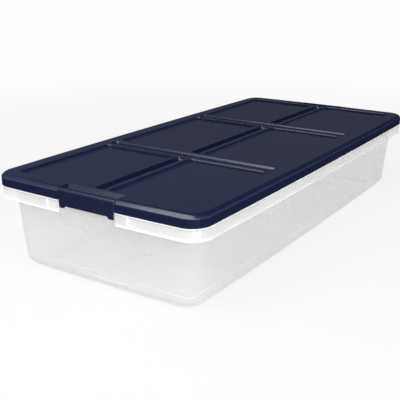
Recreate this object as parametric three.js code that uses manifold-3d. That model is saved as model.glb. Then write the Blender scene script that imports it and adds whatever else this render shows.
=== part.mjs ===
// Long, low storage box for the space under a bed: a thin clear tub with a
// turned-down rim, an opaque lid with six sunken pads, and a wide latch hinged
// to the lid at each end. Millimetres, +Z up, +X along the box; the origin is
// at the middle of the underside.
import * as THREE from "three";
import { mergeVertices } from "three/addons/utils/BufferGeometryUtils.js";
import Module from "manifold-3d";

const wasm = await Module();
wasm.setup();

// ---------------------------------------------------------------- dimensions
const LENGTH = 866;
const WIDTH = 404;
const HEIGHT = 160;
const SIDE_BOW = 4; // the middle of a long side stands this far outside its ends
const END_BOW = 3;
const RIM_RADIUS = 31; // plan radius of the rim's corners
const WALL_RADIUS = 28; // plan radius of the tub wall's corners
const GAP = 0.3; // between faces that touch

// Tub
const WALL = 2.2;
const RIM_TOP = 139.7;
const RIM_BOTTOM = 120;
const LEDGE = 2.5; // thickness of the rim's ledge and of its turned-down flange
const WALL_INSET_TOP = 16; // wall's outside, in from the rim's outside
const WALL_INSET_BOTTOM = 25;
const BOTTOM_RADIUS = 18;
const FOOT_STEP = 2; // the floor's middle is raised this far above the foot
const PANEL_HALF_LENGTH = 371;
const PANEL_HALF_WIDTH = 145;
const PANEL_CORNER = 12;
const END_JOG = { half: 44, depth: 13 }; // the raised floor reaches out to the ends here
const SIDE_JOG = { half: 100, depth: 7 };

// Lid
const SKIRT_INSET = 0.5; // the rim stands proud of the skirt by this much
const SKIRT_BOTTOM = RIM_TOP + GAP;
const SHEET = 2.2;
const SHOULDER = { radius: 11, turn: 62 }; // rounded edge between skirt and deck, degrees
const LIP_INSET = 21.5; // outside of the rib that drops inside the tub's mouth
const LIP_BOTTOM = 134;
const PAD_DEPTH = 4;
const CHANNEL_DEPTH = 7;
const PAD_END = 402; // outer end of an end pad
const PAD_SIDE = 169; // outer side of every pad
const RIB = 8.2; // width of the ribs between neighbouring hollows
const CHANNEL_HALF = 9;
const CROSS_MIDDLES = [-160.5, 144.5]; // the two troughs across the lid
const CROSS_HALF = 10.2;
const CROSS_DEPTH = 6;
const PAD_CORNER = 9;
const CROSS_END = 172;

// Latches
const LATCH_HALF = 54;
const LATCH_TAPER = 1.7; // half width lost from the top of the plate to its feet
const RECESS_HALF = 55.5;
const RECESS_BACK = 406;
const RECESS_FLOOR = 147.5;
const RECESS_SLOPE = 12.5; // run of the recess's sloping back wall
const NOTCH_FACE = 428.5; // lid and ledge are cut back to here behind the plate
const HINGE_X = 421.5;
const HINGE_Z = 152;
const BARREL_RADIUS = 3;
const PIN_RADIUS = 2;
const PIN_LENGTH = 3.2;
const HOLE_RADIUS = 2.4;
const PLATE = 2.5;
const PLATE_TOP = 159.5;
const PLATE_BOTTOM = 132;
const FOOT_BOTTOM = 128.5;
const FOOT_WIDTH = 9;
const ROLL = 5.5; // radius of the rounded top edge
const HOOK_HALF = 40;
const HOOK_REACH = 5.5; // how far the hook stands in from the plate
const HOOK_BOTTOM = 133;
const HOOK_RADIUS = 16.7; // hook's upper face, struck from the hinge so that it swings clear

const ARC_STEPS = 6;
const LONG_STEPS = 8;
const SHORT_STEPS = 4;

// ------------------------------------------------------------------- helpers
function solid(geometry) {
  const bare = new THREE.BufferGeometry();
  bare.setAttribute("position", geometry.getAttribute("position"));
  bare.setIndex(geometry.getIndex());
  const merged = mergeVertices(bare, 1e-4);
  return new wasm.Manifold(new wasm.Mesh({
    numProp: 3,
    vertProperties: new Float32Array(merged.getAttribute("position").array),
    triVerts: new Uint32Array(merged.getIndex().array),
  }));
}

function geometryOf(manifold) {
  const mesh = manifold.getMesh();
  const geometry = new THREE.BufferGeometry();
  geometry.setAttribute("position", new THREE.BufferAttribute(new Float32Array(mesh.vertProperties), 3));
  geometry.setIndex(new THREE.BufferAttribute(new Uint32Array(mesh.triVerts), 1));
  geometry.computeVertexNormals();
  return geometry;
}

function box(x0, x1, y0, y1, z0, z1) {
  const geometry = new THREE.BoxGeometry(x1 - x0, y1 - y0, z1 - z0);
  geometry.translate((x0 + x1) / 2, (y0 + y1) / 2, (z0 + z1) / 2);
  return solid(geometry);
}

// A plan outline stood up between two heights.
function slab(shape, z0, z1) {
  const geometry = new THREE.ExtrudeGeometry(shape, {
    depth: z1 - z0, bevelEnabled: false, curveSegments: ARC_STEPS,
  });
  geometry.translate(0, 0, z0);
  return solid(geometry);
}

// A shape drawn as (x, z), extruded along Y between -half and +half, then
// moved along X.
function acrossWidth(shape, half, moveX = 0) {
  const geometry = new THREE.ExtrudeGeometry(shape, {
    depth: 2 * half, bevelEnabled: false, curveSegments: ARC_STEPS,
  });
  geometry.rotateX(Math.PI / 2);
  geometry.translate(moveX, half, 0);
  return solid(geometry);
}

// A shape drawn as (y, z), extruded along X between two places.
function alongLength(shape, x0, x1) {
  const geometry = new THREE.ExtrudeGeometry(shape, {
    depth: x1 - x0, bevelEnabled: false, curveSegments: ARC_STEPS,
  });
  geometry.rotateX(Math.PI / 2);
  geometry.rotateZ(Math.PI / 2);
  geometry.translate(x0, 0, 0);
  return solid(geometry);
}

function roundedRectangle(x0, x1, y0, y1, radius) {
  const shape = new THREE.Shape();
  shape.moveTo(x0 + radius, y0);
  shape.lineTo(x1 - radius, y0);
  shape.absarc(x1 - radius, y0 + radius, radius, -Math.PI / 2, 0);
  shape.lineTo(x1, y1 - radius);
  shape.absarc(x1 - radius, y1 - radius, radius, 0, Math.PI / 2);
  shape.lineTo(x0 + radius, y1);
  shape.absarc(x0 + radius, y1 - radius, radius, Math.PI / 2, Math.PI);
  shape.lineTo(x0, y0 + radius);
  shape.absarc(x0 + radius, y0 + radius, radius, Math.PI, 1.5 * Math.PI);
  return shape;
}

// The box's plan outline, moved in by `inset`, with bowed sides and round
// corners, counter-clockwise from the +X side.
function outline(inset, radius) {
  const halfLength = LENGTH / 2 - END_BOW - inset;
  const halfWidth = WIDTH / 2 - SIDE_BOW - inset;
  const corners = [[1, 1], [-1, 1], [-1, -1], [1, -1]];
  const arcs = corners.map(([sx, sy], quarter) => {
    const points = [];
    for (let step = 0; step <= ARC_STEPS; step += 1) {
      const angle = (quarter + step / ARC_STEPS) * Math.PI / 2;
      points.push(new THREE.Vector2(
        sx * (halfLength - radius) + radius * Math.cos(angle),
        sy * (halfWidth - radius) + radius * Math.sin(angle),
      ));
    }
    return points;
  });
  const straightened = arcs.flatMap((points, quarter) => {
    const steps = quarter % 2 === 0 ? LONG_STEPS : SHORT_STEPS;
    const from = points[ARC_STEPS];
    const to = arcs[(quarter + 1) % 4][0];
    const side = [];
    for (let step = 1; step < steps; step += 1) {
      side.push(from.clone().lerp(to, step / steps));
    }
    return [...points, ...side];
  });
  return straightened.map(({ x, y }) => new THREE.Vector2(
    x * (1 + (END_BOW / halfLength) * (1 - (y / halfWidth) ** 2)),
    y * (1 + (SIDE_BOW / halfWidth) * (1 - (x / halfLength) ** 2)),
  ));
}

// A closed skin through outlines given as [inset, radius, z], from the middle
// of a downward face, out and up, to the middle of an upward face.
function loft(rings) {
  const positions = [];
  const indices = [];
  const count = outline(0, 1).length;
  rings.forEach(([inset, radius, z]) => {
    outline(inset, radius).forEach((point) => positions.push(point.x, point.y, z));
  });
  for (let ring = 0; ring < rings.length - 1; ring += 1) {
    for (let i = 0; i < count; i += 1) {
      const next = (i + 1) % count;
      const a = ring * count + i;
      const b = ring * count + next;
      indices.push(a, b, b + count, a, b + count, a + count);
    }
  }
  const first = positions.length / 3;
  const last = first + 1;
  const lastRing = (rings.length - 1) * count;
  positions.push(0, 0, rings[0][2], 0, 0, rings[rings.length - 1][2]);
  for (let i = 0; i < count; i += 1) {
    const next = (i + 1) % count;
    indices.push(first, next, i);
    indices.push(last, lastRing + i, lastRing + next);
  }
  const geometry = new THREE.BufferGeometry();
  geometry.setAttribute("position", new THREE.Float32BufferAttribute(positions, 3));
  geometry.setIndex(indices);
  return solid(geometry);
}

// The same solid at the box's other end.
function atOtherEnd(manifold) {
  return solid(geometryOf(manifold).rotateZ(Math.PI));
}

// ----------------------------------------------------------------------- tub
// The raised middle of the floor, which reaches out towards the middle of each side.
function floorPanel(grow, z0, z1) {
  const x = PANEL_HALF_LENGTH + grow;
  const y = PANEL_HALF_WIDTH + grow;
  const footprints = [
    [x, y],
    [x + END_JOG.depth, END_JOG.half + grow],
    [SIDE_JOG.half + grow, y + SIDE_JOG.depth],
  ];
  return footprints
    .map(([halfX, halfY]) => slab(roundedRectangle(-halfX, halfX, -halfY, halfY, PANEL_CORNER), z0, z1))
    .reduce((whole, piece) => whole.add(piece));
}

function tubSolid() {
  const wallInset = (z) => WALL_INSET_BOTTOM
    + (WALL_INSET_TOP - WALL_INSET_BOTTOM) * (z / RIM_TOP);
  const ledgeUnderside = RIM_TOP - LEDGE;
  const innerRadius = WALL_RADIUS - WALL;
  const bend = BOTTOM_RADIUS - WALL;
  const outside = [];
  const inside = [];
  for (let step = 0; step <= ARC_STEPS; step += 1) {
    const angle = (step / ARC_STEPS) * Math.PI / 2;
    const rise = 1 - Math.cos(angle);
    const run = 1 - Math.sin(angle);
    const outerZ = BOTTOM_RADIUS * rise;
    const innerZ = WALL + bend * rise;
    outside.push([wallInset(BOTTOM_RADIUS) + BOTTOM_RADIUS * run, WALL_RADIUS, outerZ]);
    inside.unshift([wallInset(BOTTOM_RADIUS) + WALL + bend * run, innerRadius, innerZ]);
  }
  const body = loft([
    ...outside,
    [wallInset(ledgeUnderside), WALL_RADIUS, ledgeUnderside],
    [LEDGE, RIM_RADIUS - LEDGE, ledgeUnderside],
    [LEDGE, RIM_RADIUS - LEDGE, RIM_BOTTOM],
    [0, RIM_RADIUS, RIM_BOTTOM],
    [0, RIM_RADIUS, RIM_TOP],
    [wallInset(RIM_TOP) + WALL, innerRadius, RIM_TOP],
    ...inside,
  ]);
  const under = floorPanel(0, -1, FOOT_STEP);
  const over = floorPanel(WALL, FOOT_STEP - 0.5, FOOT_STEP + WALL);
  const reach = LENGTH / 2 + 1;
  const notch = box(-reach, -NOTCH_FACE, -RECESS_HALF, RECESS_HALF, RIM_BOTTOM - 1, RIM_TOP + 1);
  return body.add(over).subtract(under).subtract(notch).subtract(atOtherEnd(notch));
}

// ----------------------------------------------------------------------- lid
// A rounded shoulder over the skirt, as [inset, radius, z] outlines from its foot up.
function shoulder(inset, top) {
  const { radius, turn } = SHOULDER;
  const start = turn * Math.PI / 180;
  const rings = [];
  for (let step = 0; step <= SHORT_STEPS; step += 1) {
    const angle = start * (1 - step / SHORT_STEPS);
    const run = radius * (Math.sin(start) - Math.sin(angle));
    rings.push([inset + run, RIM_RADIUS - inset - run, top - radius * (1 - Math.cos(angle))]);
  }
  return rings;
}

// Trough seen from its end: a flat bottom between two quarter rounds.
function troughProfile(halfWidth, depth, grow) {
  const bottom = HEIGHT - depth - grow;
  const half = halfWidth + grow;
  const round = depth;
  const shape = new THREE.Shape();
  shape.moveTo(-half, HEIGHT + 1);
  shape.lineTo(-half, bottom + round);
  shape.absarc(-half + round, bottom + round, round, Math.PI, 1.5 * Math.PI);
  shape.absarc(half - round, bottom + round, round, 1.5 * Math.PI, 2 * Math.PI);
  shape.lineTo(half, HEIGHT + 1);
  return shape;
}

// Every sunken part of the lid's top, cut to its depth plus `grow` all round.
function hollows(grow) {
  const padBottom = HEIGHT - PAD_DEPTH - grow;
  const radius = PAD_CORNER + grow;
  const inner = CHANNEL_HALF + RIB - grow;
  const clear = CROSS_HALF + RIB;
  const [near, far] = CROSS_MIDDLES;
  const rows = [[-PAD_END, near - clear], [near + clear, far - clear], [far + clear, PAD_END]];
  const parts = [];
  rows.forEach(([x0, x1]) => {
    [-1, 1].forEach((side) => {
      const [y0, y1] = side > 0 ? [inner, PAD_SIDE + grow] : [-PAD_SIDE - grow, -inner];
      parts.push(slab(roundedRectangle(x0 - grow, x1 + grow, y0, y1, radius), padBottom, HEIGHT + 1));
    });
    const profile = troughProfile(CHANNEL_HALF, CHANNEL_DEPTH, grow);
    parts.push(alongLength(profile, x0 - grow, x1 + grow));
  });
  CROSS_MIDDLES.forEach((x) => {
    const profile = troughProfile(CROSS_HALF, CROSS_DEPTH, grow);
    parts.push(acrossWidth(profile, CROSS_END + grow, x));
  });
  return parts.reduce((whole, part) => whole.add(part));
}

// The space in the lid's end for the latch, at the -X end.
function latchRecess() {
  const reach = LENGTH / 2 + 1;
  const shape = new THREE.Shape();
  shape.moveTo(-reach, SKIRT_BOTTOM - 1);
  shape.lineTo(-NOTCH_FACE, SKIRT_BOTTOM - 1);
  shape.lineTo(-NOTCH_FACE, RECESS_FLOOR);
  shape.lineTo(-RECESS_BACK - RECESS_SLOPE, RECESS_FLOOR);
  shape.lineTo(-RECESS_BACK, HEIGHT);
  shape.lineTo(-RECESS_BACK, HEIGHT + 1);
  shape.lineTo(-reach, HEIGHT + 1);
  return acrossWidth(shape, RECESS_HALF);
}

// The walls around that space: floor, back, cheeks and the drop in front.
function recessHousing() {
  const half = RECESS_HALF + SHEET;
  const back = -RECESS_BACK + SHEET;
  const shape = new THREE.Shape();
  shape.moveTo(-NOTCH_FACE, SKIRT_BOTTOM);
  shape.lineTo(-NOTCH_FACE + SHEET, SKIRT_BOTTOM);
  shape.lineTo(-NOTCH_FACE + SHEET, RECESS_FLOOR - SHEET);
  shape.lineTo(back - RECESS_SLOPE, RECESS_FLOOR - SHEET);
  shape.lineTo(back, HEIGHT - SHEET);
  shape.lineTo(back, HEIGHT);
  shape.lineTo(-NOTCH_FACE, HEIGHT);
  return acrossWidth(shape, half);
}

function hingeHoles() {
  const length = 2 * (RECESS_HALF + SHEET + 1);
  const hole = new THREE.CylinderGeometry(HOLE_RADIUS, HOLE_RADIUS, length, 2 * ARC_STEPS);
  hole.translate(-HINGE_X, 0, HINGE_Z);
  return solid(hole);
}

function lidSolid() {
  const inner = SKIRT_INSET + SHEET;
  const deckUnderside = HEIGHT - SHEET;
  const lipInner = LIP_INSET + SHEET;
  const skirtRadius = RIM_RADIUS - SKIRT_INSET;
  const shell = loft([
    [lipInner, WALL_RADIUS - 2 * SHEET, deckUnderside],
    [lipInner, WALL_RADIUS - 2 * SHEET, LIP_BOTTOM],
    [LIP_INSET, WALL_RADIUS - SHEET, LIP_BOTTOM],
    [LIP_INSET, WALL_RADIUS - SHEET, deckUnderside],
    ...shoulder(inner, deckUnderside).reverse(),
    [inner, skirtRadius - SHEET, SKIRT_BOTTOM],
    [SKIRT_INSET, skirtRadius, SKIRT_BOTTOM],
    ...shoulder(SKIRT_INSET, HEIGHT),
  ]);
  const envelope = loft([
    [SKIRT_INSET, skirtRadius, LIP_BOTTOM],
    ...shoulder(SKIRT_INSET, HEIGHT),
  ]);
  const housing = recessHousing();
  const backing = hollows(SHEET).add(housing).add(atOtherEnd(housing)).intersect(envelope);
  const recess = latchRecess().add(hingeHoles());
  return shell.add(backing).subtract(hollows(0)).subtract(recess).subtract(atOtherEnd(recess));
}

// ------------------------------------------------------------------- latches
// The latch seen from its end: a plate with a rolled top edge, bent back to a
// barrel on the hinge line.
function latchProfile() {
  const outer = -LENGTH / 2;
  const inner = outer + PLATE;
  const rollX = outer + ROLL;
  const rollZ = PLATE_TOP - ROLL;
  const shape = new THREE.Shape();
  shape.moveTo(inner, FOOT_BOTTOM);
  shape.lineTo(outer, FOOT_BOTTOM);
  shape.lineTo(outer, rollZ);
  shape.absarc(rollX, rollZ, ROLL, Math.PI, Math.PI / 2, true);
  shape.lineTo(rollX + 1.5, PLATE_TOP);
  shape.absarc(-HINGE_X, HINGE_Z, BARREL_RADIUS, Math.PI / 4, -0.75 * Math.PI, true);
  shape.lineTo(rollX, PLATE_TOP - PLATE - 0.5);
  shape.lineTo(inner, rollZ);
  return shape;
}

function hookProfile() {
  const inner = -LENGTH / 2 + PLATE;
  const tip = inner + HOOK_REACH;
  const angleAt = (x) => -Math.PI + Math.acos((-HINGE_X - x) / HOOK_RADIUS);
  const root = inner - 0.5;
  const shape = new THREE.Shape();
  shape.moveTo(root, HOOK_BOTTOM);
  shape.absarc(-HINGE_X, HINGE_Z, HOOK_RADIUS, angleAt(root), angleAt(tip));
  shape.lineTo(tip, HOOK_BOTTOM + 1.5);
  shape.lineTo(tip - 1.5, HOOK_BOTTOM);
  return shape;
}

// Below the hinge line the plate narrows towards its feet.
function tapered(geometry) {
  const position = geometry.getAttribute("position");
  for (let i = 0; i < position.count; i += 1) {
    const drop = Math.max(0, HINGE_Z - position.getZ(i)) / (HINGE_Z - FOOT_BOTTOM);
    position.setY(i, position.getY(i) * (1 - (LATCH_TAPER / LATCH_HALF) * drop));
  }
  return geometry;
}

function latchSolid() {
  const body = acrossWidth(latchProfile(), LATCH_HALF);
  const span = LATCH_HALF - FOOT_WIDTH;
  const gap = box(-LENGTH / 2 - 1, -NOTCH_FACE + 1, -span, span, FOOT_BOTTOM - 1, PLATE_BOTTOM);
  const hook = acrossWidth(hookProfile(), HOOK_HALF);
  const pinSpan = 2 * (LATCH_HALF + PIN_LENGTH);
  const pin = new THREE.CylinderGeometry(PIN_RADIUS, PIN_RADIUS, pinSpan, 2 * ARC_STEPS);
  pin.translate(-HINGE_X, 0, HINGE_Z);
  return solid(tapered(geometryOf(body.subtract(gap)))).add(hook).add(solid(pin));
}

// ------------------------------------------------------------------ assembly
const clearPlastic = new THREE.MeshStandardMaterial({
  color: 0xe6e8e8, roughness: 0.35, metalness: 0, transparent: true, opacity: 0.6,
});
const navyPlastic = new THREE.MeshStandardMaterial({ color: 0x2a3050, roughness: 0.45, metalness: 0 });

function part(name, manifold, material) {
  const mesh = new THREE.Mesh(geometryOf(manifold), material);
  mesh.name = name;
  return mesh;
}

const assembly = new THREE.Group();
const latch = latchSolid();
assembly.add(part("tub", tubSolid(), clearPlastic));
assembly.add(part("lid", lidSolid(), navyPlastic));
assembly.add(part("front_latch", latch, navyPlastic));
const rearLatch = part("rear_latch", latch, navyPlastic);
rearLatch.rotation.z = Math.PI;
assembly.add(rearLatch);

export default assembly;
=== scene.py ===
"""Under-bed storage box: a thin clear tub, an opaque navy lid with six sunken
pads, and a latch hinged to the lid at each end. Metres, +Z up, +X along the
box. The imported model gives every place; the meshes here are its fine surfaces."""

import math

import bmesh
import bpy
from mathutils import Matrix, Quaternion, Vector
from mathutils.geometry import tessellate_polygon


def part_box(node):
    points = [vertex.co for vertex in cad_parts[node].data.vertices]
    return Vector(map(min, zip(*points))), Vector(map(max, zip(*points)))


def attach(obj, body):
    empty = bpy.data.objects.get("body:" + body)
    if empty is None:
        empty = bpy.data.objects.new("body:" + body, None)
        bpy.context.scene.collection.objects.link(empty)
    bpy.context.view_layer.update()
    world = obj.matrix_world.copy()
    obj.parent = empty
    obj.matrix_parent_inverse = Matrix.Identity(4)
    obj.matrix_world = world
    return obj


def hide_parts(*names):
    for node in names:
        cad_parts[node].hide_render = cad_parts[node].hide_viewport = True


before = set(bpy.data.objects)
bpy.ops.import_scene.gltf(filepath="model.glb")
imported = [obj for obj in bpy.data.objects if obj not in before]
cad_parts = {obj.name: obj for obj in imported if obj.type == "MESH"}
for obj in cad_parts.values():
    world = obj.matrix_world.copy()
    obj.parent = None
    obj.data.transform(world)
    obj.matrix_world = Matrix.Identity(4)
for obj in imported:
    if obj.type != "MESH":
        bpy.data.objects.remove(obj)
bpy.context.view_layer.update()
_, tub_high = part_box("tub")
lid_low, lid_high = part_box("lid")
latch_low, latch_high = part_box("front_latch")

# ---------------------------------------------------------------- dimensions
HALF_LENGTH = tub_high.x
HALF_WIDTH = tub_high.y
SIDE_BOW = 0.004
END_BOW = 0.003
RIM_RADIUS = 0.031
WALL_RADIUS = 0.028

RIM_TOP = tub_high.z
RIM_BOTTOM = 0.120
LEDGE = 0.0025
WALL = 0.0022
WALL_INSET_TOP = 0.016
WALL_INSET_BOTTOM = 0.025
BOTTOM_RADIUS = 0.018
BEAD = 0.0009  # how far the rim's two beads stand out from its face
FOOT_STEP = 0.002
STEP_RUN = 0.003
PANEL_HALF_LENGTH = 0.371
PANEL_HALF_WIDTH = 0.145
PANEL_CORNER = 0.012
END_JOG_HALF = 0.044
END_JOG_DEPTH = 0.013
SIDE_JOG_HALF = 0.100
SIDE_JOG_DEPTH = 0.007

LID_TOP = lid_high.z
SKIRT_INSET = 0.0005
SKIRT_BOTTOM = RIM_TOP + 0.0003
SHEET = 0.0022
SHOULDER = 0.008  # radius that eases the lid's sloping edge into its deck
SLOPE = math.radians(47)
SKIRT_TOP = 0.1542
LIP_INSET = 0.0215
LIP_BOTTOM = lid_low.z
PAD_DEPTH = 0.004
PAD_RUN = 0.009
PAD_END = 0.402
PAD_SIDE = 0.169
PAD_CORNER = 0.009
RIB = 0.0082  # width of the ribs between neighbouring hollows
CROSS_MIDDLES = (-0.1605, 0.1445)  # the two troughs across the lid
CROSS_HALF = 0.0102
CHANNEL_HALF = 0.009
CHANNEL_DEPTH = 0.007
CHANNEL_RUN = 0.004
CROSS_END = 0.172
CROSS_DEPTH = 0.006
EDGE_ROUND = 0.0004

RECESS_HALF = 0.0555
RECESS_BACK = 0.406
RECESS_FLOOR = 0.1475
NOTCH_FACE = 0.4285
HINGE_X = 0.4215
HINGE_Z = 0.152
HOLE_RADIUS = 0.0024
PIN_RADIUS = 0.002
PIN_LENGTH = 0.0032
LATCH_HALF = 0.054
LATCH_TAPER = 0.0017
PLATE = 0.0025
PLATE_TOP = latch_high.z
PLATE_BOTTOM = 0.132
FOOT_BOTTOM = latch_low.z
FOOT_WIDTH = 0.009
FOOT_SLOPE = 0.003
ROLL = 0.0055
BARREL_RADIUS = 0.003
HOOK_HALF = 0.040
HOOK_REACH = 0.0055
HOOK_BOTTOM = 0.133
HOOK_RADIUS = 0.0167

GUSSET_ANGLES = (38, 52)  # two ribs under the rim on each corner
GUSSET_SIDE = 0.078  # and one to each side of a latch
GUSSET_PROUD = 0.0004
GUSSET_LIFT = 0.003
GUSSET_THICKNESS = 0.0014

FLOOR = -0.0003  # just under the foot, so that the two never share a plane
STAGE_REACH = 20.0
STAGE_HEIGHT = 12.0
STAGE_SIDES = 96
HOLE_SIDES = 24

LENS = 64.14543
SENSOR = 36.0
CAMERA_PLACE = (-1.17433, -0.67967, 0.47661)
CAMERA_ANGLES = (-57.151, 18.169, 0.371)  # azimuth, elevation and roll in degrees

IOR = 1.49
# pale navy painted on exposed edges: rubbed wear and a painted edge highlight
NAVY_WEAR_AND_HIGHLIGHT = (0.16, 0.17, 0.23, 1)
CLEAR_DULL = (0.865, 0.865, 0.86, 1)
CLEAR_PALE = (0.905, 0.905, 0.90, 1)
# whiter tint painted on the tub's exposed edges and ribs as a painted highlight
CLEAR_EDGE_HIGHLIGHT = (0.985, 0.985, 0.985, 1)
CLEAR_TINT = (0.985, 0.985, 0.985, 1)
FLOOR_DULL = (0.60, 0.60, 0.60, 1)
FLOOR_PALE = (0.62, 0.62, 0.62, 1)
FLOOR_GLOW = 0.985
ROOM_COLOUR = (0.86, 0.92, 1.20, 1)
ROOM_DARK = 0.015  # strength of the room outside its pale band
ROOM_BAND = 0.14
ROOM_AZIMUTH = math.radians(88)  # where the pale band stands

ARC_STEPS = 14
LONG_STEPS = 32
END_STATION = 0.120  # the outermost of the columns that cross a straight end
ROUND_STEPS = 8


# ---------------------------------------------------------------- mesh tools
class Skin:
    """Vertices, faces and an edge mark for each vertex: 1 on an exposed edge, where the materials paint
    rubbed wear and a painted edge highlight.
    """

    def __init__(self):
        self.points = []
        self.wear_and_highlight = []
        self.faces = []

    def ring(self, points, wear_and_highlight=0.0):
        start = len(self.points)
        self.points.extend(Vector(p) for p in points)
        self.wear_and_highlight.extend([wear_and_highlight] * len(points))
        return list(range(start, len(self.points)))

    def face(self, corners):
        self.faces.append(tuple(corners))

    def bridge(self, a, b, skip=()):
        for i in range(len(a)):
            if i not in skip:
                j = (i + 1) % len(a)
                self.face((a[i], a[j], b[j], b[i]))

    def fill(self, loops, normal):
        """A flat region inside the first loop and outside the others."""
        order = [index for loop in loops for index in loop]
        across = normal.orthogonal().normalized()
        up = normal.cross(across)
        flat = [
            [Vector((self.points[i].dot(across), self.points[i].dot(up), 0)) for i in loop]
            for loop in loops
        ]
        for a, b, c in tessellate_polygon(flat):
            a, b, c = order[a], order[b], order[c]
            turn = (self.points[b] - self.points[a]).cross(self.points[c] - self.points[a])
            self.face((a, b, c) if turn.dot(normal) > 0 else (a, c, b))

    def tube(self, centre, radius, y0, y1, steps=24):
        """A closed cylinder along Y with softened ends."""
        soft = radius * 0.2
        sections = [(y0, radius - soft), (y0 + soft, radius), (y1 - soft, radius), (y1, radius - soft)]
        rings = [
            self.ring([(centre[0] + r * math.cos(a), y, centre[1] + r * math.sin(a))
                       for a in (2 * math.pi * k / steps for k in range(steps))])
            for y, r in sections
        ]
        for a, b in zip(rings, rings[1:]):
            self.bridge(b, a)
        self.face(rings[0])
        self.face(list(reversed(rings[-1])))

    def plate(self, corners, thickness):
        """A closed flat plate: a polygon given a thickness along its normal."""
        normal = (corners[1] - corners[0]).cross(corners[2] - corners[0]).normalized()
        # every corner carries the full edge mark, so the ribs built from it get the painted highlight
        front = self.ring([c + normal * thickness / 2 for c in corners], 1)
        back = self.ring([c - normal * thickness / 2 for c in corners], 1)
        self.face(front)
        self.face(list(reversed(back)))
        self.bridge(back, front)

    @staticmethod
    def turn_outward(mesh):
        shell = bmesh.new()
        shell.from_mesh(mesh)
        bmesh.ops.delete(shell, geom=[v for v in shell.verts if not v.link_faces], context="VERTS")
        bmesh.ops.recalc_face_normals(shell, faces=shell.faces)
        shell.to_mesh(mesh)
        shell.free()

    def object(self, name, sharp_angle=35):
        mesh = bpy.data.meshes.new(name)
        mesh.from_pydata(self.points, [], self.faces)
        mesh.attributes.new("wear_and_highlight", "FLOAT", "POINT").data.foreach_set("value", self.wear_and_highlight)
        mesh.validate()
        self.turn_outward(mesh)
        mesh.polygons.foreach_set("use_smooth", [True] * len(mesh.polygons))
        mesh.set_sharp_from_angle(angle=math.radians(sharp_angle))
        made = bpy.data.objects.new(name, mesh)
        bpy.context.scene.collection.objects.link(made)
        return made


def rounded_rectangle(x0, x1, y0, y1, radius):
    points = []
    centres = [(x1, y1, -1, -1), (x0, y1, 1, -1), (x0, y0, 1, 1), (x1, y0, -1, 1)]
    for quarter, (x, y, sx, sy) in enumerate(centres):
        for step in range(ROUND_STEPS + 1):
            angle = (quarter + step / ROUND_STEPS) * math.pi / 2
            points.append((x + radius * (sx + math.cos(angle)), y + radius * (sy + math.sin(angle))))
    return points


def end_stations(half):
    """Places across an end, from +Y to -Y, with columns at the recess's cheeks."""
    outer = [END_STATION, 0.100, 0.082, 0.066]
    inner = [half * k / 4 for k in range(4, 0, -1)]
    positive = outer + inner
    return positive + [0.0] + [-y for y in reversed(positive)]


def outline(inset, radius, half=RECESS_HALF):
    """The plan outline moved in by inset, counter-clockwise from the +X side."""
    half_x = HALF_LENGTH - END_BOW - inset
    half_y = HALF_WIDTH - SIDE_BOW - inset
    corners = [(1, 1), (-1, 1), (-1, -1), (1, -1)]
    arcs = [
        [(sx * (half_x - radius) + radius * math.cos(a), sy * (half_y - radius) + radius * math.sin(a))
         for a in ((quarter + k / ARC_STEPS) * math.pi / 2 for k in range(ARC_STEPS + 1))]
        for quarter, (sx, sy) in enumerate(corners)
    ]
    points = []
    for quarter, arc in enumerate(arcs):
        points.extend(arc)
        if quarter % 2 == 0:
            start, end = arc[-1], arcs[(quarter + 1) % 4][0]
            points.extend(
                (start[0] + (end[0] - start[0]) * k / LONG_STEPS, start[1])
                for k in range(1, LONG_STEPS)
            )
        else:
            side = corners[quarter][0]
            points.extend((side * half_x, -side * y) for y in end_stations(half))
    return [
        (x * (1 + (END_BOW / half_x) * (1 - (y / half_y) ** 2)),
         y * (1 + (SIDE_BOW / half_y) * (1 - (x / half_x) ** 2)))
        for x, y in points
    ]


STATIONS = len(end_stations(RECESS_HALF))
LONG_RUN = ARC_STEPS + 1 + LONG_STEPS - 1
FRONT_START = LONG_RUN + ARC_STEPS + 1
REAR_START = FRONT_START + STATIONS + LONG_RUN + ARC_STEPS + 1
GAP_FIRST = 4  # the station at one cheek, and below at the other
GAP_LAST = STATIONS - 1 - GAP_FIRST


def gap_columns(start):
    return [start + k for k in range(GAP_FIRST, GAP_LAST + 1)]


GAPS = [gap_columns(FRONT_START), gap_columns(REAR_START)]
GAP_STRIPS = {column for gap in GAPS for column in gap[:-1]}


def raised(points, z):
    return [(x, y, z) for x, y in points]


def arc(centre, radius, start, end, steps):
    """Points on an arc from start to end, in degrees."""
    angles = [math.radians(start + (end - start) * k / steps) for k in range(steps + 1)]
    return [(centre[0] + radius * math.cos(a), centre[1] + radius * math.sin(a)) for a in angles]


# ----------------------------------------------------------------------- tub
def filleted(corners):
    """A closed polyline through (x, y, radius) corners, with each one rounded."""
    points = []
    for k, (x, y, radius) in enumerate(corners):
        here = Vector((x, y))
        before = (Vector(corners[k - 1][:2]) - here).normalized()
        after = (Vector(corners[(k + 1) % len(corners)][:2]) - here).normalized()
        start, end = here + before * radius, here + after * radius
        for step in range(ROUND_STEPS + 1):
            t = step / ROUND_STEPS
            points.append(start * (1 - t) ** 2 + here * 2 * t * (1 - t) + end * t * t)
    return [(p.x, p.y) for p in points]


def panel_outline(shrink):
    """The raised middle of the floor, which reaches out at the middle of each side."""
    x = PANEL_HALF_LENGTH - shrink
    y = PANEL_HALF_WIDTH - shrink
    far_x = x + END_JOG_DEPTH
    far_y = y + SIDE_JOG_DEPTH
    jog_y = END_JOG_HALF - shrink
    jog_x = SIDE_JOG_HALF - shrink
    corner = PANEL_CORNER
    small = SIDE_JOG_DEPTH * 0.45
    quarter = [
        (far_x, jog_y, small), (x, jog_y, small), (x, y, corner), (jog_x, y, small), (jog_x, far_y, small),
    ]
    upper = quarter + [(-px, py, r) for px, py, r in reversed(quarter)]
    lower = [(-px, -py, r) for px, py, r in upper]
    return filleted(upper + lower)


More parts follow.
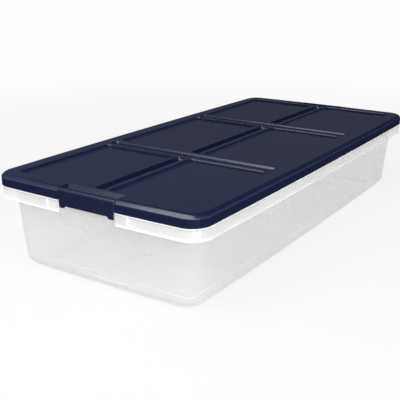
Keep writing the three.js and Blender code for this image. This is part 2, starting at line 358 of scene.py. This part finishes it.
def floor_steps(skin, edge, z, grow, normal):
    """Fills a floor from its edge ring: flat foot, soft step, raised panel."""
    steps = [
        (-0.0008, 0.0, 0), (0.0, 0.0, 0), (0.2, 0.06, 0.3), (0.4, 0.28, 0.6), (0.6, 0.72, 0.6),
        (0.8, 0.94, 0.6), (1.0, 1.0, 0.3), (1.3, 1.0, 0),
    ]
    rings = [
        skin.ring(raised(panel_outline(share * STEP_RUN - grow), z + FOOT_STEP * rise), wear_and_highlight)
        for share, rise, wear_and_highlight in steps
    ]
    skin.fill([edge, rings[0]], normal)
    for a, b in zip(rings, rings[1:]):
        skin.bridge(a, b) if normal.z > 0 else skin.bridge(b, a)
    skin.fill([rings[-1]], normal)


def wall_inset(z):
    return WALL_INSET_BOTTOM + (WALL_INSET_TOP - WALL_INSET_BOTTOM) * (z / RIM_TOP)


def tub_profile():
    """(inset, plan radius, z, edge mark for the painted edge highlight) from the foot, out and up, over the
    rim and down inside.
    """
    under = RIM_TOP - LEDGE
    inner_radius = WALL_RADIUS - WALL
    bend = BOTTOM_RADIUS - WALL
    bend_inset = wall_inset(BOTTOM_RADIUS)
    turns = [k / 10 * math.pi / 2 for k in range(11)]
    fillet = 0.002
    outside = [
        (bend_inset + BOTTOM_RADIUS * (1 - math.sin(a)), WALL_RADIUS, BOTTOM_RADIUS * (1 - math.cos(a)), 0)
        for a in turns
    ]
    inside = [
        (bend_inset + WALL + bend * (1 - math.sin(a)), inner_radius, WALL + bend * (1 - math.cos(a)), 0)
        for a in reversed(turns)
    ]
    wall = [(wall_inset(z), WALL_RADIUS, z, 0) for z in (0.035, 0.060, 0.085, 0.110)]
    corner = [
        (wall_inset(under) - fillet * (1 - math.cos(a)), WALL_RADIUS, under - fillet * (1 - math.sin(a)), 0)
        for a in (0, math.pi / 6, math.pi / 3, math.pi / 2)
    ]
    flange = [
        (0.0044, under, 0), (0.0036, under, 0), (0.0028, under - 0.0003, 0), (LEDGE, under - 0.0010, 0),
        (LEDGE, RIM_BOTTOM + 0.0010, 0), (0.0023, RIM_BOTTOM + 0.0003, 0.4), (0.0018, RIM_BOTTOM, 1),
        (0.0008, RIM_BOTTOM, 1), (0.0002, RIM_BOTTOM + 0.0003, 1), (0.0, RIM_BOTTOM + 0.0010, 1),
        (0.0001, RIM_BOTTOM + 0.0020, 0.6), (0.0005, RIM_BOTTOM + 0.0028, 0.2),
        (BEAD, RIM_BOTTOM + 0.0034, 0), (BEAD, RIM_BOTTOM + 0.0060, 0), (BEAD, RIM_TOP - 0.0040, 0),
        (BEAD, RIM_TOP - 0.0024, 0), (0.0005, RIM_TOP - 0.0017, 0.2), (0.0001, RIM_TOP - 0.0012, 0.6),
        (0.0, RIM_TOP - 0.0007, 1), (0.0002, RIM_TOP - 0.0002, 1), (0.0008, RIM_TOP, 1),
        (0.0016, RIM_TOP, 0.3), (0.0044, RIM_TOP, 0),
    ]
    mouth = wall_inset(RIM_TOP) + WALL
    lip = [
        (mouth - 0.0016, inner_radius, RIM_TOP, 0.2), (mouth - 0.0008, inner_radius, RIM_TOP, 0.6),
        (mouth - 0.0002, inner_radius, RIM_TOP - 0.0003, 1), (mouth, inner_radius, RIM_TOP - 0.0009, 0.6),
        (mouth + 0.0001, inner_radius, RIM_TOP - 0.002, 0),
    ]
    inner_wall = [(wall_inset(z) + WALL, inner_radius, z, 0) for z in (0.110, 0.085, 0.060, 0.035)]
    rim = [(inset, RIM_RADIUS - inset, z, wear_and_highlight) for inset, z, wear_and_highlight in flange]
    cut = (len(outside) + len(wall) + len(corner), len(outside) + len(wall) + len(corner) + len(rim) - 1)
    return outside + wall + corner + rim + lip + inner_wall + inside, cut


def gusset(skin, x, y, direction):
    """A thin rib under the ledge, from the wall out through the turned-down flange."""
    out = Vector((direction[0], direction[1], 0)).normalized()
    edge = Vector((x, y, 0))
    top, low = RIM_TOP - LEDGE + 0.0005, RIM_BOTTOM + GUSSET_LIFT
    reach = WALL_INSET_TOP - LEDGE + 0.001
    corners = [
        edge + out * GUSSET_PROUD + Vector((0, 0, top)), edge + out * GUSSET_PROUD + Vector((0, 0, low)),
        edge - out * reach + Vector((0, 0, low - 0.004)), edge - out * reach + Vector((0, 0, top)),
    ]
    skin.plate(corners, GUSSET_THICKNESS)


def make_tub():
    skin = Skin()
    profile, (cut_from, cut_to) = tub_profile()
    rings = [skin.ring(raised(outline(inset, radius), z), wear_and_highlight) for inset, radius, z, wear_and_highlight in profile]
    for k, (a, b) in enumerate(zip(rings, rings[1:])):
        skin.bridge(a, b, GAP_STRIPS if cut_from <= k < cut_to else ())
    for gap in GAPS:
        side = 1 if skin.points[rings[cut_from][gap[0]]].x > 0 else -1
        for column in gap:
            for k in (cut_from, cut_to):
                skin.points[rings[k][column]].x = side * NOTCH_FACE
        for a, b in zip(gap, gap[1:]):
            skin.face((rings[cut_from][a], rings[cut_from][b], rings[cut_to][b], rings[cut_to][a]))
        for column, turned in ((gap[0], 1), (gap[-1], -1)):
            section = [rings[k][column] for k in range(cut_from, cut_to + 1)]
            skin.fill([section], Vector((0, side * turned, 0)))
    floor_steps(skin, rings[0], 0.0, 0.0, Vector((0, 0, -1)))
    floor_steps(skin, rings[-1], WALL, WALL, Vector((0, 0, 1)))
    for sx in (-1, 1):
        for sy in (-1, 1):
            for angle in GUSSET_ANGLES:
                a = math.radians(angle)
                x = HALF_LENGTH - END_BOW - RIM_RADIUS + RIM_RADIUS * math.cos(a)
                y = HALF_WIDTH - SIDE_BOW - RIM_RADIUS + RIM_RADIUS * math.sin(a)
                gusset(skin, sx * x, sy * y, (sx * math.cos(a), sy * math.sin(a)))
            gusset(skin, sx * (HALF_LENGTH - 0.0006), sy * GUSSET_SIDE, (sx, 0))
    return skin.object("tub_shell")


# ----------------------------------------------------------------------- lid
def hollow_profile(run, depth, scooped):
    """(inset, depth, edge mark for wear and painted highlight) down a concave wall, level at its foot. It
    is steep at its top edge, or where it is scooped, an arc that leaves the deck at an angle."""
    r = EDGE_ROUND
    if scooped:
        radius = (run ** 2 + depth ** 2) / (2 * depth)
        full = math.asin(run / radius)
        points = [(-r - 0.0005, 0.0, 0), (-r, 0.0, 0.3), (-r * 0.3, r * 0.12, 1)]
        for k in range(13):
            a = full * (1 - k / 12)
            points.append((run - radius * math.sin(a), depth - radius * (1 - math.cos(a)), 0))
        points[3] = (r * 0.3, r * 0.55, 0.6)
    else:
        points = [(-r - 0.0005, 0.0, 0), (-r, 0.0, 0.4), (-r * 0.5, r * 0.13, 1), (-r * 0.13, r * 0.5, 1)]
        for k in range(13):
            a = k / 12 * math.pi / 2
            points.append((run * (1 - math.cos(a)), r + (depth - r) * math.sin(a), 0))
    points.append((run + 0.0003, depth, 0))
    return points


def add_hollow(skin, box, corner, foot_corner, run, depth, thick, scooped=False):
    """A sunken area of the lid, or with a thickness its underside. Returns its outermost ring."""
    x0, x1, y0, y1 = box
    rings = []
    for inset, drop, wear_and_highlight in hollow_profile(run, depth, scooped):
        i = inset - thick * 0.7
        share = min(1, max(0, inset / run))
        radius = corner + (foot_corner - corner) * share + thick
        points = rounded_rectangle(x0 + i, x1 - i, y0 + i, y1 - i, radius)
        rings.append(skin.ring(raised(points, LID_TOP - thick - drop), 0 if thick else wear_and_highlight))
    for a, b in zip(rings, rings[1:]):
        skin.bridge(a, b)
    skin.face(rings[-1])
    return rings[0]


def all_hollows(skin, thick):
    inner = CHANNEL_HALF + RIB
    clear = CROSS_HALF + RIB
    first, second = CROSS_MIDDLES
    rows = [(-PAD_END, first - clear), (first + clear, second - clear), (second + clear, PAD_END)]
    holes = []
    for x0, x1 in rows:
        for y0, y1 in ((-PAD_SIDE, -inner), (inner, PAD_SIDE)):
            holes.append(add_hollow(skin, (x0, x1, y0, y1), PAD_CORNER, 0.006, PAD_RUN, PAD_DEPTH, thick))
        channel = (x0, x1, -CHANNEL_HALF, CHANNEL_HALF)
        holes.append(add_hollow(skin, channel, 0.0045, 0.0025, CHANNEL_RUN, CHANNEL_DEPTH, thick))
    for x in CROSS_MIDDLES:
        gutter = (x - CROSS_HALF, x + CROSS_HALF, -CROSS_END, CROSS_END)
        run = CROSS_HALF - 0.0005
        holes.append(add_hollow(skin, gutter, 0.007, 0.0004, run, CROSS_DEPTH, thick, True))
    return holes


def lid_rim_profile():
    """(inset, z, edge mark for wear and painted highlight) up the skirt and over the sloping shoulder to
    the deck.
    """
    s = SKIRT_INSET
    bend_z = LID_TOP - SHOULDER * (1 - math.cos(SLOPE))
    bend = s + (bend_z - SKIRT_TOP) / math.tan(SLOPE)
    middle = bend + SHOULDER * math.sin(SLOPE)
    points = [
        (s + 0.0004, SKIRT_BOTTOM, 0.6), (s + 0.0001, SKIRT_BOTTOM + 0.0002, 1),
        (s, SKIRT_BOTTOM + 0.0007, 0.5),
        (s, SKIRT_BOTTOM + 0.0020, 0), (s, SKIRT_TOP - 0.0016, 0), (s, SKIRT_TOP - 0.0007, 0.5),
        (s + 0.0001, SKIRT_TOP - 0.0002, 1), (s + 0.0004, SKIRT_TOP + 0.0003, 1),
        (s + 0.0010, SKIRT_TOP + 0.0010, 0.4),
    ]
    for k in range(11):
        a = SLOPE * (1 - k / 10)
        points.append((middle - SHOULDER * math.sin(a), LID_TOP - SHOULDER * (1 - math.cos(a)), 0))
    return points + [(middle + 0.0008, LID_TOP, 0)]


def lid_sheet(skin, thick):
    """The lid's outer face, or with a thickness its underside. Returns the loop
    round its open lower edge and the four hinge holes."""
    half = RECESS_HALF + thick
    rings = []
    for inset, z, wear_and_highlight in lid_rim_profile():
        z = z if z < SKIRT_BOTTOM + 0.0001 else z - thick * min(1, (z - SKIRT_BOTTOM) / 0.008)
        points = outline(inset + thick, max(RIM_RADIUS - inset - thick, 0.006), half)
        rings.append(skin.ring(raised(points, z), 0 if thick else wear_and_highlight))
    for a, b in zip(rings, rings[1:]):
        skin.bridge(a, b, GAP_STRIPS)
    holes = all_hollows(skin, thick)
    deck_z = LID_TOP - thick
    floor_z = RECESS_FLOOR - thick
    back_x = RECESS_BACK - thick * (math.sqrt(2) - 1)
    foot_x = back_x + (deck_z - floor_z)
    drop_x = NOTCH_FACE - thick
    deck_loop = []
    open_loop = []
    pin_holes = []
    column = 0
    count = len(rings[0])
    gap_of = {gap[0]: gap for gap in GAPS}
    while column < count:
        deck_loop.append(rings[-1][column])
        open_loop.append(rings[0][column])
        gap = gap_of.get(column)
        if not gap:
            column += 1
            continue
        side = 1 if skin.points[rings[0][column]].x > 0 else -1
        section = [(back_x, deck_z), (foot_x, floor_z), (drop_x, floor_z), (drop_x, SKIRT_BOTTOM)]
        lines = []
        for end in (gap[0], gap[-1]):
            y = skin.points[rings[0][end]].y
            line = skin.ring([(side * x, y, z) for x, z in section])
            lines.append(line)
            wall = [ring[end] for ring in rings] + line
            hole = skin.ring([
                (side * HINGE_X + HOLE_RADIUS * math.cos(a), y, HINGE_Z + HOLE_RADIUS * math.sin(a))
                for a in (2 * math.pi * step / HOLE_SIDES for step in range(HOLE_SIDES))
            ])
            pin_holes.append(hole)
            skin.fill([wall, hole], Vector((0, 1, 0)))
        first, last = lines
        for k in range(3):
            skin.face((first[k], first[k + 1], last[k + 1], last[k]))
        deck_loop.extend([first[0], last[0]])
        open_loop.extend([first[3], last[3]])
        column = gap[-1]
        deck_loop.append(rings[-1][column])
        open_loop.append(rings[0][column])
        column += 1
    skin.fill([deck_loop, *holes], Vector((0, 0, 1)))
    return open_loop, pin_holes


def add_lip(skin):
    """The rib that drops inside the tub's mouth. It stops below the latch recesses."""
    radius = WALL_RADIUS - SHEET
    low_in = LIP_INSET + SHEET
    bands = [
        (low_in, "top"), (low_in, LIP_BOTTOM + 0.0006), (low_in - 0.0005, LIP_BOTTOM),
        (LIP_INSET + 0.0005, LIP_BOTTOM), (LIP_INSET, LIP_BOTTOM + 0.0006), (LIP_INSET, "top"),
    ]
    rings = []
    for inset, z in bands:
        points = []
        for x, y in outline(inset, radius - (inset - LIP_INSET), RECESS_HALF + SHEET + 0.0004):
            under = abs(x) > RECESS_BACK - 0.004 and abs(y) < RECESS_HALF + SHEET + 0.0006
            top = RECESS_FLOOR - SHEET * 0.5 if under else LID_TOP - SHEET * 0.6
            points.append((x, y, top if z == "top" else z))
        rings.append(skin.ring(points))
    for a, b in zip(rings, rings[1:] + rings[:1]):
        skin.bridge(a, b)


def make_lid():
    skin = Skin()
    outer, outer_holes = lid_sheet(skin, 0.0)
    inner, inner_holes = lid_sheet(skin, SHEET)
    skin.bridge(inner, outer)
    for a, b in zip(outer_holes, inner_holes):
        skin.bridge(a, b)
    add_lip(skin)
    return skin.object("lid_panel")


# ------------------------------------------------------------------- latches
def latch_section(bottom, shrink):
    """The latch's plate, rolled top and barrel seen from its end, as (x, z)."""
    outer = -HALF_LENGTH
    inner = outer + PLATE
    roll = (outer + ROLL, PLATE_TOP - ROLL)
    r = 0.0006
    points = [(inner, bottom + 3 * r), (inner, bottom + r)]
    points += arc((inner - r, bottom + r), r, 0, -90, 3)[1:]
    points += arc((outer + r, bottom + r), r, -90, -180, 3)
    points += [(outer, bottom + 3 * r), (outer, roll[1] - 0.004)]
    points += arc(roll, ROLL, 180, 90, 10)
    points += [(roll[0] + 0.0015, PLATE_TOP)]
    points += arc((-HINGE_X, HINGE_Z), BARREL_RADIUS, 45, -135, 14)
    points += [(roll[0], PLATE_TOP - PLATE - 0.0005), (inner + 0.0008, roll[1] + 0.0010), (inner, roll[1])]
    if shrink:
        count = len(points)
        moved = []
        for k, (x, z) in enumerate(points):
            ahead = Vector(points[(k + 1) % count]) - Vector(points[k - 1])
            inward = Vector((ahead.y, -ahead.x)).normalized()
            moved.append((x + inward.x * shrink, z + inward.y * shrink))
        points = moved
    return points


def make_latch(name, turned):
    skin = Skin()
    foot = LATCH_HALF - FOOT_WIDTH
    soft = 0.0005
    half = [
        (LATCH_HALF, soft, FOOT_BOTTOM, 1), (LATCH_HALF - soft * 0.3, soft * 0.3, FOOT_BOTTOM, 1),
        (LATCH_HALF - soft, 0, FOOT_BOTTOM, 0.4), (LATCH_HALF - soft * 2.5, 0, FOOT_BOTTOM, 0),
        (foot, 0, FOOT_BOTTOM, 0), (foot - FOOT_SLOPE, 0, PLATE_BOTTOM, 0),
        (foot - FOOT_SLOPE - 0.001, 0, PLATE_BOTTOM, 0),
        (HOOK_HALF * 0.5, 0, PLATE_BOTTOM, 0),
    ]
    stations = half + [(-y, shrink, bottom, wear_and_highlight) for y, shrink, bottom, wear_and_highlight in reversed(half)]
    rings = []
    for y, shrink, bottom, wear_and_highlight in stations:
        points = []
        for x, z in latch_section(bottom, shrink):
            drop = max(0.0, HINGE_Z - z) / (HINGE_Z - FOOT_BOTTOM)
            points.append((x, y * (1 - LATCH_TAPER / LATCH_HALF * drop), z))
        rings.append(skin.ring(points, wear_and_highlight))
    for a, b in zip(rings, rings[1:]):
        skin.bridge(a, b)
    skin.fill([rings[0]], Vector((0, 1, 0)))
    skin.fill([rings[-1]], Vector((0, -1, 0)))
    add_hook(skin)
    for side in (-1, 1):
        near, far = LATCH_HALF - 0.003, LATCH_HALF + PIN_LENGTH
        low, high = sorted((side * near, side * far))
        skin.tube((-HINGE_X, HINGE_Z), PIN_RADIUS, low, high)
    if turned:
        turn = Matrix.Rotation(math.pi, 4, "Z")
        skin.points = [turn @ p for p in skin.points]
    return skin.object(name)


def add_hook(skin):
    """The ridge behind the plate that catches under the tub's ledge."""
    inner = -HALF_LENGTH + PLATE
    root, tip = inner - 0.0006, inner + HOOK_REACH
    angles = [-180 + math.degrees(math.acos((-HINGE_X - x) / HOOK_RADIUS)) for x in (root, tip)]
    section = [(root, HOOK_BOTTOM), *arc((-HINGE_X, HINGE_Z), HOOK_RADIUS, *angles, 5)]
    section += [
        (tip, HOOK_BOTTOM + 0.0015), (tip - 0.0004, HOOK_BOTTOM + 0.0005), (tip - 0.0015, HOOK_BOTTOM),
    ]
    rings = [skin.ring([(x, y, z) for x, z in section]) for y in (HOOK_HALF, -HOOK_HALF)]
    skin.bridge(rings[0], rings[1])
    skin.fill([rings[0]], Vector((0, 1, 0)))
    skin.fill([rings[1]], Vector((0, -1, 0)))


# ----------------------------------------------------------------- materials
class Shader:
    """A node material under construction."""

    def __init__(self, name):
        self.material = bpy.data.materials.new(name)
        self.material.use_nodes = True
        self.tree = self.material.node_tree
        self.tree.nodes.clear()
        self.output = self.tree.nodes.new("ShaderNodeOutputMaterial")

    def add(self, kind, inputs=None, **settings):
        node = self.tree.nodes.new(kind)
        for key, value in settings.items():
            setattr(node, key, value)
        for key, value in (inputs or {}).items():
            if isinstance(value, bpy.types.NodeSocket):
                self.tree.links.new(value, node.inputs[key])
            else:
                node.inputs[key].default_value = value
        return node

    def place(self):
        return self.add("ShaderNodeTexCoord").outputs["Object"]

    def noise(self, vector, scale, detail=2.0, rough=0.5, stretch=None):
        if stretch:
            vector = self.add("ShaderNodeMapping", {"Vector": vector, "Scale": stretch}).outputs["Vector"]
        inputs = {"Vector": vector, "Scale": scale, "Detail": detail, "Roughness": rough}
        return self.add("ShaderNodeTexNoise", inputs).outputs["Fac"]

    def scale(self, value, low, high, new_low, new_high):
        inputs = {"Value": value, "From Min": low, "From Max": high, "To Min": new_low, "To Max": new_high}
        return self.add("ShaderNodeMapRange", inputs).outputs["Result"]

    def math(self, operation, a, b):
        return self.add("ShaderNodeMath", {0: a, 1: b}, operation=operation).outputs["Value"]

    def blend(self, share, a, b):
        node = self.add("ShaderNodeMix", data_type="RGBA")
        for socket, value in ((node.inputs["Factor"], share), (node.inputs[6], a), (node.inputs[7], b)):
            if isinstance(value, bpy.types.NodeSocket):
                self.tree.links.new(value, socket)
            else:
                socket.default_value = value
        return node.outputs[2]

    def bump(self, height, distance, strength=1.0, normal=None):
        inputs = {"Height": height, "Distance": distance, "Strength": strength}
        if normal:
            inputs["Normal"] = normal
        return self.add("ShaderNodeBump", inputs).outputs["Normal"]

    def finish(self, surface):
        self.tree.links.new(surface, self.output.inputs["Surface"])
        return self.material


def navy_plastic(name, dark, light, roughness):
    """Moulded navy polypropylene: a fine sand-like grain, faint flow marks and
    exposed edges painted slightly paler in specks: rubbed wear and a painted edge highlight."""
    shader = Shader(name)
    place = shader.place()
    broad = shader.noise(place, 7.0, 3.0)
    flow = shader.noise(place, 18.0, 3.0, 0.6, (0.25, 1.0, 1.0))
    grain = shader.noise(place, 1400.0, 2.0, 0.6)
    speck = shader.noise(place, 420.0, 3.0, 0.7)
    mottled = shader.scale(shader.math("ADD", broad, flow), 0.7, 1.3, 0.0, 1.0)
    colour = shader.blend(mottled, dark, light)
    # painted highlight: exposed edges turn paler in specks, part rubbed wear and part painted edge
    # highlight
    wear_and_highlight = shader.add("ShaderNodeAttribute", attribute_name="wear_and_highlight").outputs["Fac"]
    edge_wear_and_highlight = shader.math("MULTIPLY", wear_and_highlight, shader.scale(speck, 0.35, 0.65, 0.08, 0.13))
    colour = shader.blend(edge_wear_and_highlight, colour, NAVY_WEAR_AND_HIGHLIGHT)
    rough = shader.scale(speck, 0.3, 0.7, roughness - 0.04, roughness + 0.05)
    rough = shader.math("SUBTRACT", rough, shader.math("MULTIPLY", wear_and_highlight, 0.05))
    normal = shader.bump(grain, 0.00003, 0.4)
    normal = shader.bump(flow, 0.0005, 0.05, normal)
    surface = shader.add(
        "ShaderNodeBsdfPrincipled",
        {"Base Color": colour, "Roughness": rough, "Normal": normal, "IOR": IOR},
    )
    return shader.finish(surface.outputs["BSDF"])


def clear_plastic(name):
    """Natural polypropylene: milky, half see-through, more solid over the rim and its beads, and painted
    whiter and more solid along its exposed edges and ribs: a painted highlight.
    """
    shader = Shader(name)
    place = shader.place()
    cloud = shader.noise(place, 9.0, 3.0)
    flow = shader.noise(place, 30.0, 3.0, 0.6, (1.0, 1.0, 0.2))
    grain = shader.noise(place, 900.0, 2.0)
    height = shader.add("ShaderNodeSeparateXYZ", {"Vector": place}).outputs["Z"]
    rim = shader.scale(height, RIM_BOTTOM - 0.0025, RIM_BOTTOM + 0.0005, 0.0, 1.0)
    wear_and_highlight = shader.add("ShaderNodeAttribute", attribute_name="wear_and_highlight").outputs["Fac"]
    tint = shader.blend(cloud, CLEAR_DULL, CLEAR_PALE)
    # painted highlight: exposed edges and ribs turn whiter
    tint = shader.blend(wear_and_highlight, tint, CLEAR_EDGE_HIGHLIGHT)
    rough = shader.scale(flow, 0.3, 0.7, 0.24, 0.34)
    normal = shader.bump(flow, 0.0008, 0.15, shader.bump(grain, 0.00005, 0.35))
    front = shader.add(
        "ShaderNodeBsdfPrincipled",
        {"Base Color": tint, "Roughness": rough, "Normal": normal, "IOR": IOR},
    ).outputs["BSDF"]
    through = shader.add("ShaderNodeBsdfTranslucent", {"Color": tint, "Normal": normal}).outputs["BSDF"]
    body = shader.add("ShaderNodeMixShader", {0: 0.5, 1: front, 2: through}).outputs["Shader"]
    clear = shader.add("ShaderNodeBsdfTransparent", {"Color": CLEAR_TINT}).outputs["BSDF"]
    milky = shader.scale(cloud, 0.3, 0.7, 0.21, 0.27)
    solid = shader.math("ADD", milky, shader.math("MULTIPLY", rim, 0.16))
    # painted highlight: exposed edges and ribs turn more solid
    solid = shader.math("ADD", solid, shader.math("MULTIPLY", wear_and_highlight, 0.45))
    surface = shader.add("ShaderNodeMixShader", {0: solid, 1: clear, 2: body}).outputs["Shader"]
    return shader.finish(surface)


def floor_paint():
    """Pale sweep lit from below: it takes a faint shadow only around the middle."""
    shader = Shader("floor_paint")
    place = shader.place()
    cloud = shader.noise(place, 1.5, 2.0)
    colour = shader.blend(cloud, FLOOR_DULL, FLOOR_PALE)
    matte = shader.add("ShaderNodeBsdfDiffuse", {"Color": colour}).outputs["BSDF"]
    light = {"Color": (1, 1, 1, 1), "Strength": FLOOR_GLOW}
    glow = shader.add("ShaderNodeEmission", light).outputs["Emission"]
    distance = shader.add("ShaderNodeVectorMath", {0: place}, operation="LENGTH").outputs["Value"]
    share = shader.scale(distance, 0.5, 1.8, 0.15, 0.0)
    surface = shader.add("ShaderNodeMixShader", {0: share, 1: glow, 2: matte}).outputs["Shader"]
    return shader.finish(surface)


# --------------------------------------------------------------------- scene
def dress(piece, body, nodes, material):
    piece.data.materials.append(material)
    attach(piece, body)
    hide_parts(*nodes)


lid_navy = navy_plastic("lid_navy", (0.0056, 0.0081, 0.0262, 1), (0.0066, 0.0095, 0.0305, 1), 0.23)
latch_navy = navy_plastic("latch_navy", (0.0064, 0.0088, 0.0252, 1), (0.0074, 0.0100, 0.0290, 1), 0.27)
tub_clear = clear_plastic("tub_clear")

dress(make_tub(), "tub", ["tub"], tub_clear)
dress(make_lid(), "lid", ["lid"], lid_navy)
dress(make_latch("front_latch_body", False), "front_latch", ["front_latch"], latch_navy)
dress(make_latch("rear_latch_body", True), "rear_latch", ["rear_latch"], latch_navy)


def add_stage():
    """A round floor and, seen only directly, a pale wall around it."""
    paint = floor_paint()
    angles = [2 * math.pi * k / STAGE_SIDES for k in range(STAGE_SIDES)]
    rings = [
        [(STAGE_REACH * math.cos(a), STAGE_REACH * math.sin(a), z) for a in angles]
        for z in (FLOOR, STAGE_HEIGHT)
    ]
    floor_skin = Skin()
    floor_skin.face(floor_skin.ring(rings[0]))
    floor = floor_skin.object("floor")
    wall_skin = Skin()
    wall_skin.bridge(wall_skin.ring(rings[0]), wall_skin.ring(rings[1]))
    wall = wall_skin.object("backdrop")
    wall.visible_diffuse = False
    for piece in (floor, wall):
        piece.data.materials.append(paint)
        piece.visible_glossy = False


def add_area(name, place, aim, size, power, spin=0.0):
    light = bpy.data.lights.new(name, "AREA")
    light.shape = "RECTANGLE"
    light.size, light.size_y = size
    light.energy = power
    lamp = bpy.data.objects.new(name, light)
    bpy.context.scene.collection.objects.link(lamp)
    lamp.location = place
    lamp.rotation_mode = "QUATERNION"
    aimed = (Vector(aim) - Vector(place)).to_track_quat("-Z", "Y")
    lamp.rotation_quaternion = Quaternion((0, 0, 1), math.radians(spin)) @ aimed
    return lamp


def add_camera():
    azimuth, elevation, roll = (math.radians(v) for v in CAMERA_ANGLES)
    back = Vector((
        math.sin(azimuth) * math.cos(elevation),
        -math.cos(azimuth) * math.cos(elevation),
        math.sin(elevation),
    ))
    data = bpy.data.cameras.new("camera")
    data.sensor_width = SENSOR
    data.lens = LENS
    data.clip_start, data.clip_end = 0.01, 100
    camera = bpy.data.objects.new("camera", data)
    bpy.context.scene.collection.objects.link(camera)
    camera.location = CAMERA_PLACE
    camera.rotation_mode = "QUATERNION"
    camera.rotation_quaternion = (-back).to_track_quat("-Z", "Y") @ Quaternion((0, 0, 1), roll)
    bpy.context.scene.camera = camera


def add_world():
    """A dark room with a pale band low on one side."""
    world = bpy.data.worlds.new("studio")
    world.use_nodes = True
    background = world.node_tree.nodes["Background"]
    background.inputs["Color"].default_value = ROOM_COLOUR
    tree = world.node_tree

    def node(kind, **settings):
        made = tree.nodes.new(kind)
        for key, value in settings.items():
            setattr(made, key, value)
        return made

    def ramp(value, low, high):
        made = node("ShaderNodeMapRange", interpolation_type="SMOOTHSTEP")
        made.inputs["From Min"].default_value = low
        made.inputs["From Max"].default_value = high
        tree.links.new(value, made.inputs["Value"])
        return made.outputs["Result"]

    def product(a, b):
        made = node("ShaderNodeMath", operation="MULTIPLY")
        for socket, value in ((made.inputs[0], a), (made.inputs[1], b)):
            if isinstance(value, float):
                socket.default_value = value
            else:
                tree.links.new(value, socket)
        return made.outputs["Value"]

    direction = node("ShaderNodeTexCoord").outputs["Generated"]
    parts = node("ShaderNodeSeparateXYZ")
    tree.links.new(direction, parts.inputs["Vector"])
    toward = node("ShaderNodeVectorMath", operation="DOT_PRODUCT")
    toward.inputs[1].default_value = (math.cos(ROOM_AZIMUTH), math.sin(ROOM_AZIMUTH), 0)
    tree.links.new(direction, toward.inputs[0])
    band = product(ramp(parts.outputs["Z"], 0.07, 0.24), ramp(parts.outputs["Z"], 0.60, 0.42))
    lit = product(band, ramp(toward.outputs["Value"], -0.25, 0.40))
    total = node("ShaderNodeMath", operation="ADD")
    tree.links.new(product(lit, ROOM_BAND), total.inputs[0])
    total.inputs[1].default_value = ROOM_DARK
    tree.links.new(total.outputs["Value"], background.inputs["Strength"])
    bpy.context.scene.world = world


add_stage()
add_world()
add_camera()
add_area("softbox", (-1.78, 0.08, 1.5), (-1.78, 0.08, 0.0), (2.3, 2.2), 84, -24)
add_area("back_card", (-1.2, 1.8, 1.5), (-1.2, 1.3, 0.0), (2.4, 1.0), 3)
add_area("end_fill", (-2.3, -1.9, 0.9), (0, 0, 0.1), (2.4, 1.6), 56)
side_fill = add_area("side_fill", (-0.2, -2.5, 0.9), (-0.1, 0, 0.1), (2.0, 1.2), 42)
side_fill.visible_glossy = False
bpy.context.scene.view_settings.view_transform = "Standard"
